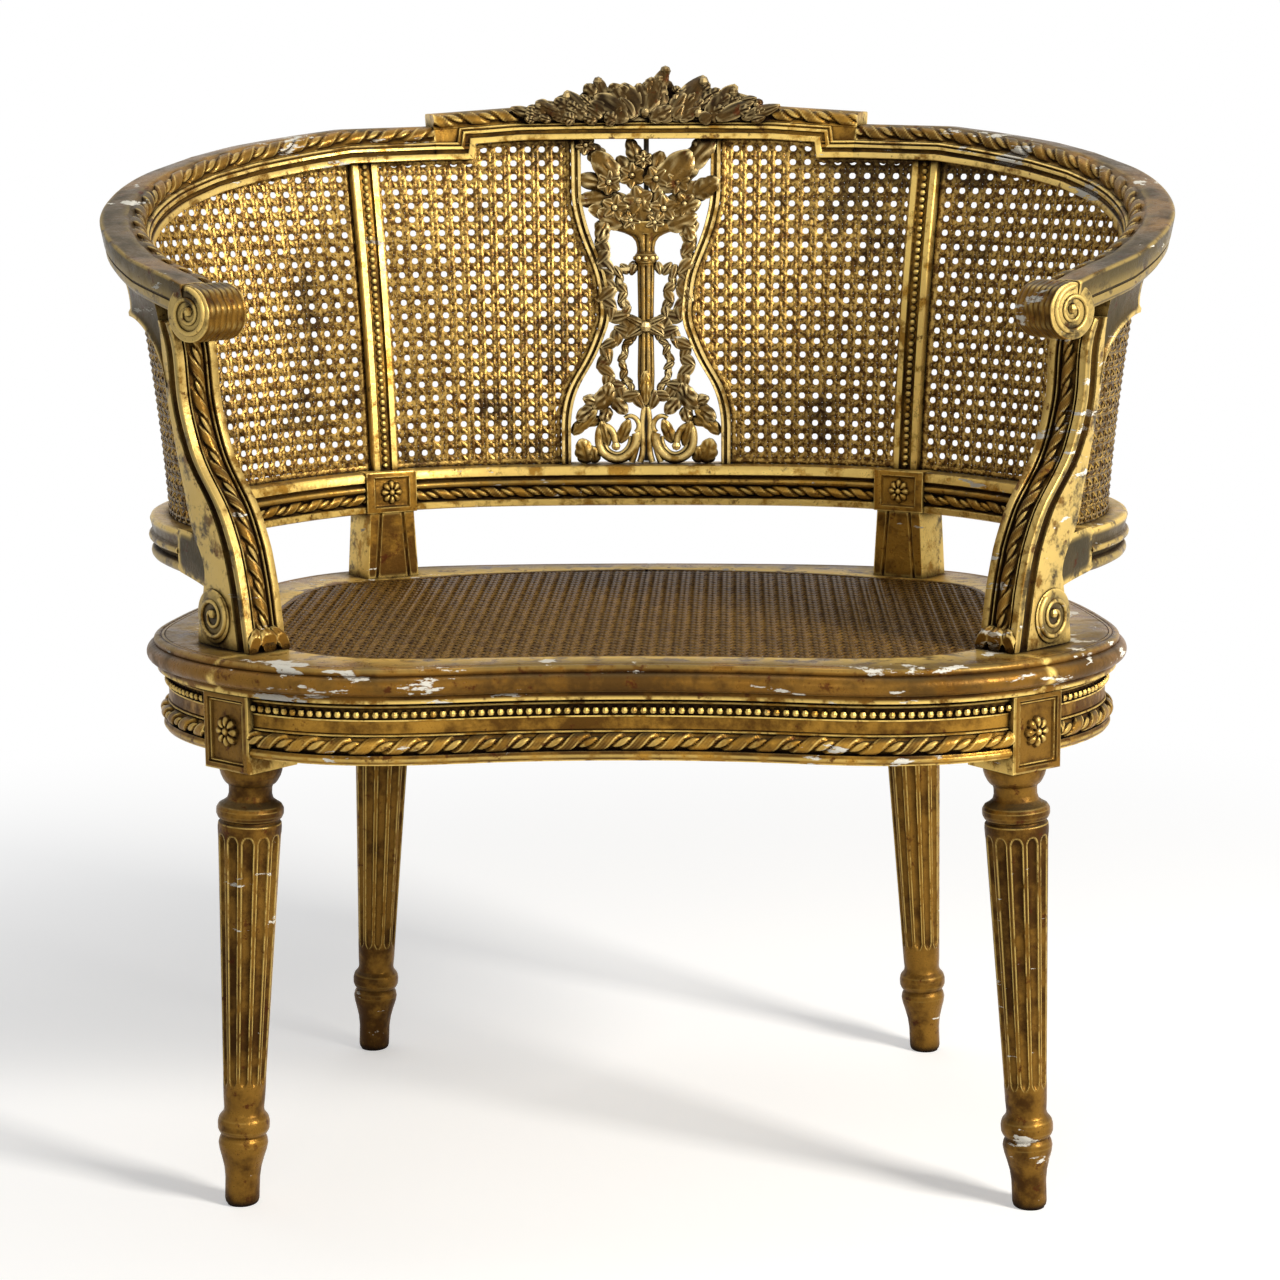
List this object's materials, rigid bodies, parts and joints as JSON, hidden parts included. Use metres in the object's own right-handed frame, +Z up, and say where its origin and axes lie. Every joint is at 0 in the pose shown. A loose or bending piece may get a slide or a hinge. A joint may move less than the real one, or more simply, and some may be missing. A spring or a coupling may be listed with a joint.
{
  "type": "caned armchair",
  "caption": "Low tub-shaped armchair: gilded carved frame, round caned back and arms, pierced splat, caned kidney-shaped seat, fluted turned legs.",
  "frame": {"origin": "middle of the bounding box's base, on the floor between the four feet", "axes": "+Z up, +Y towards the rear of the chair, +X towards the sitter's left hand, which is the right of the chair seen from the front"},
  "size_m": [0.8586, 0.5676, 0.8853],
  "materials": {
    "gilt_wood": "aged burnished gold leaf",
    "carved_wood": "aged gold leaf on carving",
    "back_cane": "gilded woven cane",
    "seat_cane": "worn woven cane",
    "rod": "dark bronze"
  },
  "bodies": {
    "root": {"centre_low_rail": "gilt_wood", "crest_rail": "gilt_wood", "front_apron": "gilt_wood", "left_apron": "gilt_wood", "right_apron": "gilt_wood", "rear_apron": "gilt_wood", "front_seat_rim": "gilt_wood", "left_seat_rim": "gilt_wood", "right_seat_rim": "gilt_wood", "rear_seat_rim": "gilt_wood", "left_arm_rail": "gilt_wood", "right_arm_rail": "gilt_wood", "left_arm_support": "gilt_wood", "right_arm_support": "gilt_wood", "left_back_post": "gilt_wood", "right_back_post": "gilt_wood", "left_front_leg": "gilt_wood", "right_front_leg": "gilt_wood", "left_rear_leg": "gilt_wood", "right_rear_leg": "gilt_wood", "left_side_low_rail": "gilt_wood", "right_side_low_rail": "gilt_wood", "crest_carving": "carved_wood", "pierced_splat": "carved_wood", "left_back_cane": "back_cane", "right_back_cane": "back_cane", "left_side_cane": "back_cane", "right_side_cane": "back_cane", "seat_cane": "seat_cane", "splat_rod": "rod"}
  },
  "joints": []
}
